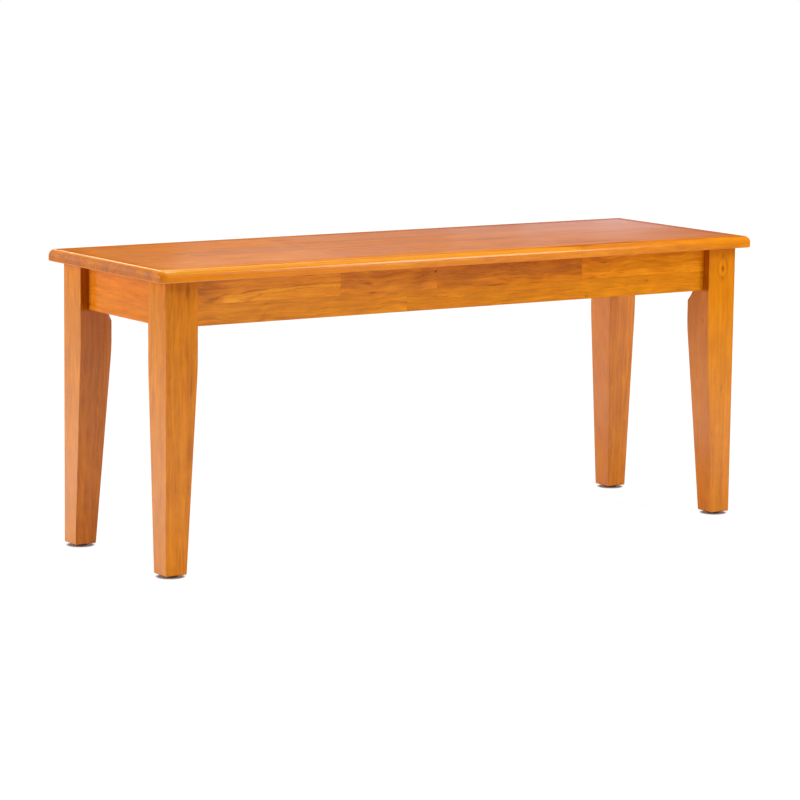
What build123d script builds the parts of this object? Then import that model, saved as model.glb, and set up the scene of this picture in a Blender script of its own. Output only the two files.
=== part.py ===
from build123d import *
import os
from math import sqrt

# A backless wooden bench: a seat board on an apron frame that stands on four tapered legs.
# Millimetres. The length runs along X, the front faces -Y, the seat faces +Z, and the origin is
# on the floor under the middle of the bench.

# Whole bench
bench_length = 1100
bench_width = 355
bench_height = 457

# Seat board
seat_thickness = 18
seat_overhang = 20              # past the outer faces of the legs, all round
seat_corner_radius = 12
seat_top_radius = 10
seat_bottom_radius = 2

# Legs, tapered on their two inner faces only
leg_side = 54
leg_foot_side = 36
taper_drop = 60                 # from the aprons' lower edge to where the taper starts
taper_bend_radius = 500
leg_arris_radius = 1.5
foot_chamfer_share = 0.7        # of the arris radius
flat_cut = 18                   # how much of each inner face the corner flat takes away
flat_cutter_radius = 60         # the round end that the cutter leaves under the flat
flat_end_rise = 17              # from the aprons' lower edge to where the flat is full

# Aprons
apron_height = 70
apron_thickness = 20
apron_setback = 14              # behind the outer faces of the legs
apron_arris_radius = 1.5

# Corner blocks
block_thickness = 22
block_height = 45
block_leg_gap = 1.4
block_edge_chamfer = 1

# Centre rail under the seat
rail_thickness = 22
rail_height = 45
rail_edge_chamfer = 1

# Countersunk wood screws
screw_radius = 2
screw_head_radius = 4
screw_head_height = 2.4
screw_tip_length = 5
screw_recess_span = 4.4
screw_recess_slot = 1
screw_recess_depth = 1.4
screw_clearance = 0.1
block_screw_length = 25
block_screw_grip = 10           # block under the top of the head
block_screw_edge = 12           # from the block's far tip, along the apron
seat_screw_length = 32
seat_screw_bite = 12            # length inside the seat board
seat_screw_offset = 13          # to each side of the hanger bolt
rail_screw_inset = 38           # from the rail's ends to its outer screws

# Hanger bolts with their washers and nuts
bolt_radius = 4
bolt_length = 70
bolt_leg_grip = 30
bolt_tip_length = 6
bolt_end_chamfer = 1
bolt_leg_clearance = 0.1
bolt_block_clearance = 0.5
washer_radius = 10
washer_thickness = 1.6
washer_clearance = 0.3
nut_across_flats = 13
nut_height = 6.5
nut_clearance = 0.1

# Dowels in the centre rail
dowel_radius = 4
dowel_length = 28
dowel_chamfer = 0.8
dowel_apron_depth = 12
dowel_spacing = 22
dowel_clearance = 0.1
dowel_end_gap = 0.8

# Glides under the feet, each held by a nail
glide_radius = 11
glide_height = 4
glide_edge_radius = 1.2
nail_radius = 1.2
nail_grip = 14                  # length inside the foot
nail_tip_length = 3
nail_head_radius = 3.5
nail_head_height = 1
nail_head_lift = 0.4            # above the floor
nail_clearance = 0.1

# How far a cut runs past the surface that it opens
overrun = 5

# Heights
seat_underside = bench_height - seat_thickness
apron_bottom = seat_underside - apron_height
taper_start = apron_bottom - taper_drop
flat_full_height = apron_bottom + flat_end_rise
block_bottom = seat_underside - block_height
bolt_height = seat_underside - block_height / 2
rail_bottom = seat_underside - rail_height
seat_screw_head = seat_underside + seat_screw_bite - seat_screw_length

# Places in plan: the legs' outer faces and the aprons' faces, from the middle of the bench
leg_outer_x = bench_length / 2 - seat_overhang
leg_outer_y = bench_width / 2 - seat_overhang
apron_middle_x = leg_outer_x - apron_setback - apron_thickness / 2
apron_middle_y = leg_outer_y - apron_setback - apron_thickness / 2
apron_inner_y = apron_middle_y - apron_thickness / 2
foot_inset = leg_foot_side / 2

# Distances along a corner's diagonal, from the leg's outer corner inwards
flat_distance = (2 * leg_side - flat_cut) / sqrt(2)
block_outer_distance = flat_distance + block_leg_gap
block_inner_distance = block_outer_distance + block_thickness
block_middle_distance = block_outer_distance + block_thickness / 2
nut_distance = block_inner_distance + washer_thickness

# A block's corners along an apron, from the leg's outer corner
apron_inset = apron_setback + apron_thickness
block_near = block_outer_distance * sqrt(2) - apron_inset
block_far = block_inner_distance * sqrt(2) - apron_inset
block_screw_along = block_far - block_screw_edge

# Sizes of small features
foot_chamfer = leg_arris_radius * foot_chamfer_share
dowel_rail_depth = dowel_length - dowel_apron_depth
bolt_inner_length = bolt_length - bolt_leg_grip
nut_corner_radius = nut_across_flats / sqrt(3)

up = Vector(0, 0, 1)
sides = (-1, 1)
x_words = {-1: "left", 1: "right"}
y_words = {-1: "front", 1: "rear"}
corners = [(x_side, y_side) for y_side in sides for x_side in sides]


def corner_name(x_side, y_side):
    """The words for one corner, such as front_left."""
    return f"{y_words[y_side]}_{x_words[x_side]}"


def inward(x_side, y_side):
    """The level direction from a leg's outer corner towards the middle of the bench."""
    return Vector(-x_side, -y_side, 0).normalized()


def corner_point(x_side, y_side, along_x, along_y, height):
    """A point at a height, given by how far it lies inside a leg's outer corner, in X and in Y."""
    return Vector(x_side * (leg_outer_x - along_x), y_side * (leg_outer_y - along_y), height)


def bolt_plane(x_side, y_side, distance):
    """A plane square to a corner's bolt, at a distance from the leg's outer corner, facing inwards."""
    direction = inward(x_side, y_side)
    origin = corner_point(x_side, y_side, 0, 0, bolt_height) + direction * distance
    return Plane(origin=origin, x_dir=up, z_dir=direction)


def long_apron_screw_plane(x_side, y_side):
    """The top of the head of the screw from a block into the front or the rear apron."""
    depth = apron_inset + block_screw_grip
    origin = corner_point(x_side, y_side, block_screw_along, depth, bolt_height)
    return Plane(origin=origin, x_dir=up, z_dir=(0, -y_side, 0))


def end_apron_screw_plane(x_side, y_side):
    """The top of the head of the screw from a block into the left or the right apron."""
    depth = apron_inset + block_screw_grip
    origin = corner_point(x_side, y_side, depth, block_screw_along, bolt_height)
    return Plane(origin=origin, x_dir=up, z_dir=(-x_side, 0, 0))


def block_seat_screw_planes(x_side, y_side):
    """The tops of the heads of the two screws that go up through a block into the seat."""
    direction = inward(x_side, y_side)
    middle = corner_point(x_side, y_side, 0, 0, seat_screw_head) + direction * block_middle_distance
    across = direction.cross(up) * seat_screw_offset
    return [Plane(origin=middle + across * side, z_dir=-up) for side in sides]


def dowel_planes(y_side, facing):
    """The places of the dowels in the joint between one end of the centre rail and its apron."""
    middle = rail_bottom + rail_height / 2
    heights = [middle + side * dowel_spacing / 2 for side in sides]
    return [Plane(origin=(0, y_side * apron_inner_y, z), z_dir=(0, facing, 0)) for z in heights]


rail_screw_reach = apron_inner_y - rail_screw_inset
rail_screw_places = (-rail_screw_reach, 0, rail_screw_reach)
rail_screw_planes = [Plane(origin=(0, y, seat_screw_head), z_dir=-up) for y in rail_screw_places]
seat_screw_planes = rail_screw_planes + [
    plane for corner in corners for plane in block_seat_screw_planes(*corner)
]
block_screw_planes = [long_apron_screw_plane(*corner) for corner in corners] + [
    end_apron_screw_plane(*corner) for corner in corners
]


def make_screw(length):
    """A countersunk screw with a cross recess, pointing down, the top of its head at the origin."""
    with BuildPart() as screw:
        with BuildSketch(Plane.XZ):
            with BuildLine():
                Polyline(
                    (0, 0),
                    (screw_head_radius, 0),
                    (screw_radius, -screw_head_height),
                    (screw_radius, screw_tip_length - length),
                    (0, -length),
                    close=True,
                )
            make_face()
        revolve(axis=Axis.Z)
        with BuildSketch(Plane.XY):
            Rectangle(screw_recess_span, screw_recess_slot)
            Rectangle(screw_recess_slot, screw_recess_span)
        extrude(amount=-screw_recess_depth, mode=Mode.SUBTRACT)
    return screw.part


def make_screw_hole(length):
    """The room for a screw and, over its head, for the bit that drives it."""
    hole_radius = screw_radius + screw_clearance
    access_radius = screw_head_radius + screw_clearance
    with BuildPart() as hole:
        with BuildSketch(Plane.XZ):
            with BuildLine():
                Polyline(
                    (0, block_height),
                    (access_radius, block_height),
                    (access_radius, 0),
                    (hole_radius, -screw_head_height),
                    (hole_radius, -length - screw_clearance),
                    (0, -length - screw_clearance),
                    close=True,
                )
            make_face()
        revolve(axis=Axis.Z)
    return hole.part


block_screw_hole = make_screw_hole(block_screw_length)
seat_screw_hole = make_screw_hole(seat_screw_length)

# The seat: one board with a round upper edge, and blind holes for the screws under it
with BuildPart() as seat_top:
    with BuildSketch(Plane.XY.offset(seat_underside)):
        RectangleRounded(bench_length, bench_width, seat_corner_radius)
    extrude(amount=seat_thickness)
    fillet(seat_top.faces().sort_by(Axis.Z)[-1].edges(), seat_top_radius)
    fillet(seat_top.faces().sort_by(Axis.Z)[0].edges(), seat_bottom_radius)
    with Locations(*seat_screw_planes):
        add(seat_screw_hole, mode=Mode.SUBTRACT)
seat_top.part.label = "seat_top"


def make_leg(x_side, y_side):
    """One leg, with its corner flat and the holes for its hanger bolt and its glide's nail."""
    foot_centre = corner_point(x_side, y_side, foot_inset, foot_inset, glide_height)
    outlines = (
        (Plane.XZ, x_side, leg_outer_x, Mode.ADD),
        (Plane.YZ, y_side, leg_outer_y, Mode.INTERSECT),
    )
    with BuildPart() as leg:
        # The leg is the space that its outlines from the front and from the side share
        for plane, side, reach, mode in outlines:
            bend = (side * (reach - leg_side), taper_start)
            with BuildSketch(plane):
                with BuildLine():
                    Polyline(
                        (side * reach, glide_height),
                        (side * reach, seat_underside),
                        (side * (reach - leg_side), seat_underside),
                        bend,
                        (side * (reach - leg_foot_side), glide_height),
                        close=True,
                    )
                make_face()
                fillet(vertices().sort_by_distance(bend)[0], taper_bend_radius)
            extrude(amount=bench_length, both=True, mode=mode)
        ends = leg.faces().sort_by(Axis.Z)[0].edges() + leg.faces().sort_by(Axis.Z)[-1].edges()
        fillet([edge for edge in leg.edges() if edge not in ends], leg_arris_radius)
        chamfer(leg.faces().sort_by(Axis.Z)[0].edges(), foot_chamfer)

        # The corner flat, and the round end that its cutter leaves below it
        direction = inward(x_side, y_side)
        corner = corner_point(x_side, y_side, 0, 0, 0)
        with BuildSketch(Plane(origin=corner, x_dir=direction, z_dir=direction.cross(up))):
            with Locations((flat_distance, flat_full_height)):
                Rectangle(
                    flat_cutter_radius,
                    seat_underside - flat_full_height + overrun,
                    align=(Align.MIN, Align.MIN),
                )
            with Locations((flat_distance + flat_cutter_radius, flat_full_height)):
                Circle(flat_cutter_radius)
        extrude(amount=leg_side, both=True, mode=Mode.SUBTRACT)

        with Locations(bolt_plane(x_side, y_side, flat_distance)):
            Hole(bolt_radius + bolt_leg_clearance, depth=bolt_leg_grip + bolt_leg_clearance)
        with Locations(Plane(origin=foot_centre, z_dir=-up)):
            Hole(nail_radius + nail_clearance, depth=nail_grip + nail_clearance)
    leg.part.label = f"{corner_name(x_side, y_side)}_leg"
    return leg.part


def make_long_apron(y_side):
    """The front or the rear apron, between the inner faces of two legs."""
    with BuildPart() as apron:
        with BuildSketch(Plane.XY.offset(apron_bottom)):
            with Locations((0, y_side * apron_middle_y)):
                Rectangle(2 * (leg_outer_x - leg_side), apron_thickness)
        extrude(amount=apron_height)
        lower_edges = apron.faces().sort_by(Axis.Z)[0].edges()
        fillet(lower_edges.filter_by(Axis.X), apron_arris_radius)
        with Locations(*[long_apron_screw_plane(x_side, y_side) for x_side in sides]):
            add(block_screw_hole, mode=Mode.SUBTRACT)
        with Locations(*dowel_planes(y_side, -y_side)):
            Hole(dowel_radius + dowel_clearance, depth=dowel_apron_depth + dowel_end_gap)
    apron.part.label = f"{y_words[y_side]}_apron"
    return apron.part


def make_end_apron(x_side):
    """The left or the right apron, between the inner faces of two legs."""
    with BuildPart() as apron:
        with BuildSketch(Plane.XY.offset(apron_bottom)):
            with Locations((x_side * apron_middle_x, 0)):
                Rectangle(apron_thickness, 2 * (leg_outer_y - leg_side))
        extrude(amount=apron_height)
        lower_edges = apron.faces().sort_by(Axis.Z)[0].edges()
        fillet(lower_edges.filter_by(Axis.Y), apron_arris_radius)
        with Locations(*[end_apron_screw_plane(x_side, y_side) for y_side in sides]):
            add(block_screw_hole, mode=Mode.SUBTRACT)
    apron.part.label = f"{x_words[x_side]}_apron"
    return apron.part


def make_corner_block(x_side, y_side):
    """A block across one corner, its two slanted ends against the aprons, its top against the seat."""
    outline = (
        (apron_inset, block_near),
        (block_near, apron_inset),
        (block_far, apron_inset),
        (apron_inset, block_far),
    )
    points = [corner_point(x_side, y_side, *place, 0) for place in outline]
    with BuildPart() as block:
        with BuildSketch(Plane.XY.offset(block_bottom)):
            with BuildLine():
                Polyline(*points, close=True)
            make_face()
        extrude(amount=block_height)
        chamfer(block.faces().sort_by(Axis.Z)[0].edges(), block_edge_chamfer)
        with Locations(bolt_plane(x_side, y_side, block_inner_distance)):
            Hole(bolt_radius + bolt_block_clearance, depth=block_thickness + overrun)
        with Locations(long_apron_screw_plane(x_side, y_side), end_apron_screw_plane(x_side, y_side)):
            add(block_screw_hole, mode=Mode.SUBTRACT)
        with Locations(*block_seat_screw_planes(x_side, y_side)):
            add(seat_screw_hole, mode=Mode.SUBTRACT)
    block.part.label = f"{corner_name(x_side, y_side)}_corner_block"
    return block.part


def make_glide(x_side, y_side):
    """A disc under one foot, with the hole for its nail and a recess that hides the nail's head."""
    centre = corner_point(x_side, y_side, foot_inset, foot_inset, 0)
    with BuildPart() as glide:
        with BuildSketch(Plane(origin=centre)):
            Circle(glide_radius)
        extrude(amount=glide_height)
        fillet(glide.faces().sort_by(Axis.Z)[0].edges(), glide_edge_radius)
        with Locations(Plane(origin=centre, z_dir=-up)):
            CounterBoreHole(
                nail_radius + nail_clearance,
                nail_head_radius + nail_clearance,
                nail_head_lift + nail_head_height + nail_clearance,
                depth=glide_height + overrun,
            )
    glide.part.label = f"{corner_name(x_side, y_side)}_glide"
    return glide.part


# The centre rail, from the front apron to the rear one, its top against the seat
with BuildPart() as centre_rail:
    with BuildSketch(Plane.XY.offset(rail_bottom)):
        Rectangle(rail_thickness, 2 * apron_inner_y)
    extrude(amount=rail_height)
    rail_lower_edges = centre_rail.faces().sort_by(Axis.Z)[0].edges()
    chamfer(rail_lower_edges.filter_by(Axis.Y), rail_edge_chamfer)
    with Locations(*rail_screw_planes):
        add(seat_screw_hole, mode=Mode.SUBTRACT)
    for end in sides:
        with Locations(*dowel_planes(end, end)):
            Hole(dowel_radius + dowel_clearance, depth=dowel_rail_depth + dowel_end_gap)
centre_rail.part.label = "centre_rail"

# One dowel, from the face of an apron, and the four of them in the centre rail's joints
with BuildPart() as dowel:
    with BuildSketch(Plane.XY.offset(-dowel_rail_depth)):
        Circle(dowel_radius)
    extrude(amount=dowel_length)
    chamfer(dowel.edges().filter_by(GeomType.CIRCLE), dowel_chamfer)

with BuildPart() as rail_dowels:
    with Locations(*dowel_planes(-1, -1), *dowel_planes(1, 1)):
        add(dowel.part)
rail_dowels.part.label = "rail_dowels"

# The screws from the blocks into the aprons, and from the blocks and the rail into the seat
with BuildPart() as block_screws:
    with Locations(*block_screw_planes):
        add(make_screw(block_screw_length))
block_screws.part.label = "block_screws"

with BuildPart() as seat_screws:
    with Locations(*seat_screw_planes):
        add(make_screw(seat_screw_length))
seat_screws.part.label = "seat_screws"

# One hanger bolt, its wood end down and the leg's flat at the origin, and the four of them
with BuildPart() as hanger_bolt:
    with BuildSketch(Plane.XZ):
        with BuildLine():
            Polyline(
                (0, -bolt_leg_grip),
                (bolt_radius, bolt_tip_length - bolt_leg_grip),
                (bolt_radius, bolt_inner_length - bolt_end_chamfer),
                (bolt_radius - bolt_end_chamfer, bolt_inner_length),
                (0, bolt_inner_length),
                close=True,
            )
        make_face()
    revolve(axis=Axis.Z)

with BuildPart() as hanger_bolts:
    with Locations(*[bolt_plane(*corner, flat_distance) for corner in corners]):
        add(hanger_bolt.part)
hanger_bolts.part.label = "hanger_bolts"

with BuildPart() as washer:
    with BuildSketch(Plane.XY):
        Circle(washer_radius)
        Circle(bolt_radius + washer_clearance, mode=Mode.SUBTRACT)
    extrude(amount=washer_thickness)

with BuildPart() as hanger_washers:
    with Locations(*[bolt_plane(*corner, block_inner_distance) for corner in corners]):
        add(washer.part)
hanger_washers.part.label = "hanger_washers"

# One nut: a chamfered disc cut to a hexagon
with BuildPart() as nut:
    with BuildSketch(Plane.XY):
        Circle(nut_corner_radius)
    extrude(amount=nut_height)
    chamfer(nut.edges().filter_by(GeomType.CIRCLE), nut_corner_radius - nut_across_flats / 2)
    with BuildSketch(Plane.XY):
        RegularPolygon(nut_across_flats / 2, 6, major_radius=False)
    extrude(amount=nut_height, mode=Mode.INTERSECT)
    with BuildSketch(Plane.XY):
        Circle(bolt_radius + nut_clearance)
    extrude(amount=nut_height, mode=Mode.SUBTRACT)

with BuildPart() as hanger_nuts:
    with Locations(*[bolt_plane(*corner, nut_distance) for corner in corners]):
        add(nut.part)
hanger_nuts.part.label = "hanger_nuts"

# One nail, pointing up with the floor at its origin, and the four of them
with BuildPart() as nail:
    with BuildSketch(Plane.XZ):
        with BuildLine():
            Polyline(
                (0, nail_head_lift),
                (nail_head_radius, nail_head_lift),
                (nail_head_radius, nail_head_lift + nail_head_height),
                (nail_radius, nail_head_lift + nail_head_height),
                (nail_radius, glide_height + nail_grip - nail_tip_length),
                (0, glide_height + nail_grip),
                close=True,
            )
        make_face()
    revolve(axis=Axis.Z)

with BuildPart() as glide_nails:
    with Locations(*[corner_point(*corner, foot_inset, foot_inset, 0) for corner in corners]):
        add(nail.part)
glide_nails.part.label = "glide_nails"

pieces = [seat_top.part, centre_rail.part, rail_dowels.part, block_screws.part, seat_screws.part]
pieces += [hanger_bolts.part, hanger_washers.part, hanger_nuts.part, glide_nails.part]
pieces += [make_long_apron(y_side) for y_side in sides]
pieces += [make_end_apron(x_side) for x_side in sides]
for corner in corners:
    pieces += [make_leg(*corner), make_corner_block(*corner), make_glide(*corner)]

os.makedirs("parts", exist_ok=True)
for piece in pieces:
    export_step(piece, f"parts/{piece.label}.step")
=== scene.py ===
import math
from collections import namedtuple
from functools import partial
from random import Random

import bpy
from mathutils import Matrix, Vector

# The finish, lights and camera of a shaker bench. Metres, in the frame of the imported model: the
# length runs along X, the front faces -Y, and the origin is on the floor under the middle.

# Camera
camera_place = (-2.894, -4.3054, 0.9981)
camera_turn = math.radians(33.7645)     # from +Y towards +X
camera_fall = math.radians(8.682)       # below the horizon
camera_roll = math.radians(0.6983)
camera_lens = 149.18                    # on a 36 mm wide sensor
camera_reach = 100

# Lamps: place, target, width, height and how bright the panel looks, where 1 is white
lamps = {
    "key": ((1.9, -2.6, 2.25), (0, 0, 0.4), 1.0, 1.0, 14.5),
    "high": ((-0.5, -1.9, 3.2), (0, 0, 0.4), 1.8, 1.8, 3.5),
    "left": ((-3.2, 1.0, 0.9), (0, 0, 0.3), 2.0, 1.5, 5.6),
    "left_back": ((-1.4, 2.1, 0.95), (0, 0, 0.3), 2.2, 1.1, 1.9),
    "back": ((1.35, 3.3, 1.85), (-0.3, 0, 0.45), 1.3, 0.5, 10),
    "sheen_wide": ((3.4, 3.7, 0.95), (0.2, 0, 0.45), 3.0, 0.8, 1.3),
    "sheen_right": ((3.66, 3.54, 0.95), (0.26, 0.04, 0.45), 1.92, 0.7, 0.85),
    "sheen_far": ((3.78, 3.50, 0.95), (0.38, 0.00, 0.45), 1.69, 0.7, 0.85),
    "sheen_end": ((3.90, 3.47, 0.95), (0.50, -0.03, 0.45), 1.47, 0.7, 0.85),
    "top": ((0, 0.3, 3.4), (0, 0, 0.4), 2.4, 2.0, 3.8),
    "front": ((1.2, -3.6, 1.0), (0, 0, 0.3), 2.0, 1.4, 3.3),
}
ambient = 0.05                          # of the white surroundings, where they light a dull surface

# Bench sizes that the finish follows
seat_top_height = 0.457
seat_bottom_height = 0.439
seat_half_length = 0.55
seat_half_width = 0.1775
apron_bottom = 0.369
apron_half_length = 0.476
end_apron_half_length = 0.1035
apron_face = 0.1435                     # the outer face of a long apron, from the middle
end_apron_face = 0.516
leg_outer_y = 0.1575
foot_x = 0.512
foot_y = 0.1395
stave_row = 0.4005                      # the height where an apron's lower row of staves ends
joint_width = 0.0005
lowest_edge = -1                        # lies before every place across a board

# In the finishes below, a step gives where a share leaves 0 and where it reaches 1, and a range
# gives two places, heights or slopes of the surface and the values at them. A noise gives how many
# waves a metre has along X, Y and Z, or along, across and under the grain, then how much finer
# detail it has, and how rough that is.
noise_low = 0.3                         # a noise's usual lowest and highest values
noise_high = 0.7
squarely = (0.55, 0.95)                 # a step, by how squarely a surface faces an axis

# Which of X, Y and Z run along the grain, across it and into the wood, where the wood's face lies
# on the last of them, and the way in from there
Face = namedtuple("Face", "axes level inward")

# One stave: where it starts along the grain, how light, how red and how strongly figured it is, and
# the pith of its tree: its place across the board, its depth under the face where the distance
# along is zero, and how fast that depth changes
Stave = namedtuple("Stave", "start tone red figure pith depth slope")

# A knot or a dark fleck: its place along and across the grain and its depth under the face, its
# half length and half width, and how dark it is
Mark = namedtuple("Mark", "along across depth length width strength")
mark_rim = (1.0, 0.15)                  # a step, by the distance from the middle

# The curls of grain round a small buried knot: its place, half length, half width and strength
Eye = namedtuple("Eye", "along across length width strength")
eye_curls = 11.0                        # radians of the curls from the middle to the rim
eye_rim = (1.0, 0.3)

# How strong the grain is, how short its figure is, and how strong its thin threads are
Grain = namedtuple("Grain", "strength shortness thread")
usual_grain = Grain(1.0, 1.0, 0.4)
front_apron_grain = Grain(2.3, 1.3, 1.2)
plain_apron_grain = Grain(1.8, 1.4, 1.0)
leg_grain = Grain(1.1, 1.6, 0.8)

# The grain's layers: waves a metre along and across it, detail and roughness, how far each sways
# the lightness on its own, with the grain and with its threads, and whether its figure shortens
Layer = namedtuple("Layer", "along across detail roughness steady strength thread shortens")
layers = [
    Layer(13.0, 150.0, 3.0, 0.6, 0.0, 0.045, 0.0, True),
    Layer(11.0, 280.0, 2.0, 0.6, 0.0, 0.0, 0.07, True),
    Layer(2.5, 62.0, 2.0, 0.5, 0.035, 0.0, 0.0, False),
    Layer(17.0, 30.0, 2.0, 0.5, 0.025, 0.015, 0.0, False),
    Layer(60.0, 14.0, 1.0, 0.5, 0.015, 0.0, 0.0, False),
]

# The grain's noises, the steps taken on them and how far they change the lightness
fibre_noise = ((24.0, 430.0, 430.0), 3.0, 0.6)
fibre_sway = 0.035
pore_noise = ((110.0, 1300.0, 1300.0), 1.0)
pore_step = (0.62, 0.72)
pore_shade = -0.06
fleck_noise = ((16.0, 260.0, 260.0), 2.0)
fleck_step = (0.66, 0.78)
fleck_shade = -0.13
blotch_noise = ((3.0, 45.0, 45.0), 2.0)
blotch_step = (0.4, 0.65)
end_shades = (0.0, 1.0, -0.04, -0.10)   # of end grain, by its blotches
joint_shade = -0.18
tint_noise = ((4.0, 60.0, 60.0),)
tint_sway = 0.1                         # of the redness
wander_noise = ((11.0, 6.0, 6.0),)
wander_sway = 0.004                     # of the grain's place across the stave
wander_depth_share = 0.7
tone_seed, red_seed, along_seed = 7.7, 3.1, 9.7     # these give each stave a grain of its own

# Growth rings
ring_rate = 170.0
ring_seed = 50.0
ring_detail = 2.5
ring_roughness = 0.6
ring_bends = (((5.0, 16.0, 16.0), 0.004), ((22.0, 90.0, 90.0), 0.0012))

# Colours
stain_stops = [
    (0.0, (0.10, 0.018, 0.0008, 1)),
    (0.3, (0.37, 0.088, 0.0018, 1)),
    (0.5, (0.58, 0.158, 0.0030, 1)),
    (0.7, (0.78, 0.242, 0.0050, 1)),
    (1.0, (0.98, 0.385, 0.0150, 1)),
]
bare_stops = [
    (0.0, (0.16, 0.07, 0.025, 1)),
    (0.4, (0.50, 0.31, 0.14, 1)),
    (0.6, (0.66, 0.46, 0.26, 1)),
    (1.0, (0.83, 0.66, 0.44, 1)),
]
honey = (0.72, 0.280, 0.010, 1)
mauve = (0.45, 0.145, 0.060, 1)
# painted sheen: a pale pink that stands for a reflection on the legs' sides and a rim of light on the
# seat's lower edge
painted_sheen = (0.80, 0.385, 0.200, 1)
russet = (0.40, 0.070, 0.003, 1)
bright_russet = (0.92, 0.200, 0.005, 1)
white = (1, 1, 1, 1)

# Lacquer and relief
wood_roughness = (0.5, 0.62)
coat_roughness = 0.16
coat_gloss = 1.7                        # its index of refraction
fibre_relief = 0.4                      # of the pores' and joints' relief
stained_relief = 0.000012
bare_relief = 0.00005
usual_coat = 0.15
bare_coat = 0.08
end_redness = 0.15

# A Mix node's sockets for each kind of value: the share, both values and the result
mix_sockets = {"FLOAT": (0, 2, 3, 0), "VECTOR": (0, 4, 5, 1), "RGBA": (0, 6, 7, 2)}


class Graph:
    """Adds nodes to a material, where a value is a number, a vector or another node's output."""

    def __init__(self, tree):
        self.tree = tree

    def feed(self, socket, value):
        if isinstance(value, bpy.types.NodeSocket):
            self.tree.links.new(value, socket)
        else:
            socket.default_value = value

    def node(self, kind, inputs, **settings):
        made = self.tree.nodes.new(f"ShaderNode{kind}")
        for name, value in settings.items():
            setattr(made, name, value)
        for name, value in inputs.items():
            self.feed(made.inputs[name], value)
        return made

    def math(self, operation, *values):
        return self.node("Math", dict(enumerate(values)), operation=operation).outputs[0]

    def vector(self, operation, *values):
        made = self.node("VectorMath", dict(enumerate(values)), operation=operation)
        return made.outputs["Value" if operation == "LENGTH" else "Vector"]

    def point(self, *numbers):
        return self.node("CombineXYZ", dict(enumerate(numbers))).outputs[0]

    def chain(self, operation, values):
        result = values[0]
        for value in values[1:]:
            result = self.math(operation, result, value)
        return result

    def total(self, *values):
        return self.chain("ADD", values)

    def times(self, *values):
        return self.chain("MULTIPLY", values)

    def most(self, *values):
        return self.chain("MAXIMUM", values)

    def least(self, *values):
        return self.chain("MINIMUM", values)

    def times_plus(self, value, factor, added):
        return self.math("MULTIPLY_ADD", value, factor, added)

    def less(self, value, taken):
        return self.math("SUBTRACT", value, taken)

    def size(self, value):
        return self.math("ABSOLUTE", value)

    def other(self, share):
        """What a share leaves of 1."""
        return self.less(1.0, share)

    def spread(self, value, low, high, to_low=0.0, to_high=1.0):
        return self.node("MapRange", dict(enumerate((value, low, high, to_low, to_high)))).outputs[0]

    def soft_step(self, value, low, high):
        inputs = dict(enumerate((value, low, high, 0.0, 1.0)))
        return self.node("MapRange", inputs, interpolation_type="SMOOTHSTEP").outputs[0]

    def mixed(self, kind, share, first, second):
        share_in, first_in, second_in, result = mix_sockets[kind]
        inputs = {share_in: share, first_in: first, second_in: second}
        return self.node("Mix", inputs, data_type=kind).outputs[result]

    def mix(self, share, first, second):
        """Mixes two colours."""
        return self.mixed("RGBA", share, first, second)

    def pick(self, share, first, second):
        """Mixes two vectors, which may be negative."""
        return self.mixed("VECTOR", share, first, second)

    def blend(self, share, first, second):
        """Mixes two numbers."""
        return self.mixed("FLOAT", share, first, second)

    def noise(self, vector, scale, detail=2.0, roughness=0.5):
        scaled = self.vector("MULTIPLY", vector, scale)
        inputs = {"Vector": scaled, "Scale": 1.0, "Detail": detail, "Roughness": roughness}
        return self.node("TexNoise", inputs).outputs[0]

    def over_noise(self, noise, low, high):
        """A noise's usual range, turned into another one."""
        return self.spread(noise, noise_low, noise_high, low, high)

    def sway(self, noise, amount):
        return self.over_noise(noise, -amount, amount)

    def ramp(self, value, stops):
        made = self.node("ValToRGB", {0: value})
        elements = made.color_ramp.elements
        while len(elements) > 1:
            elements.remove(elements[-1])
        elements[0].position, elements[0].color = stops[0]
        for place, colour in stops[1:]:
            elements.new(place).color = colour
        return made.outputs[0]

    def bump(self, height, distance, strength=1.0):
        inputs = {"Strength": strength, "Distance": distance, "Height": height}
        return self.node("Bump", inputs).outputs[0]


def new_material(name):
    """A material with an empty tree, its graph and its surface shader."""
    material = bpy.data.materials.new(name)
    material.use_nodes = True
    tree = material.node_tree
    tree.nodes.clear()
    graph = Graph(tree)
    shader = graph.node("BsdfPrincipled", {})
    output = graph.node("OutputMaterial", {"Surface": shader.outputs[0]})
    output.is_active_output = True
    return material, graph, shader


def object_place(graph):
    """The point on the bench and its face's direction, each as its three numbers."""
    coordinates = graph.node("TexCoord", {})
    place = graph.node("SeparateXYZ", {0: coordinates.outputs["Object"]}).outputs
    facing = graph.node("SeparateXYZ", {0: coordinates.outputs["Normal"]}).outputs
    return place, facing


def row_lookup(graph, along, staves):
    """What one row of staves says at a point: its look, its figure and its glued joints."""
    row_look = row_figure = row_joint = None
    for stave in staves:
        look = (stave.tone, stave.red, stave.figure)
        figure = (stave.pith, stave.depth, stave.slope)
        if row_look is None:
            row_look, row_figure, row_joint = look, figure, 0.0
            continue
        past = graph.math("GREATER_THAN", along, stave.start)
        row_look = graph.pick(past, row_look, look)
        row_figure = graph.pick(past, row_figure, figure)
        row_joint = graph.most(row_joint, graph.math("COMPARE", along, stave.start, joint_width / 2))
    return row_look, row_figure, row_joint


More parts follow.
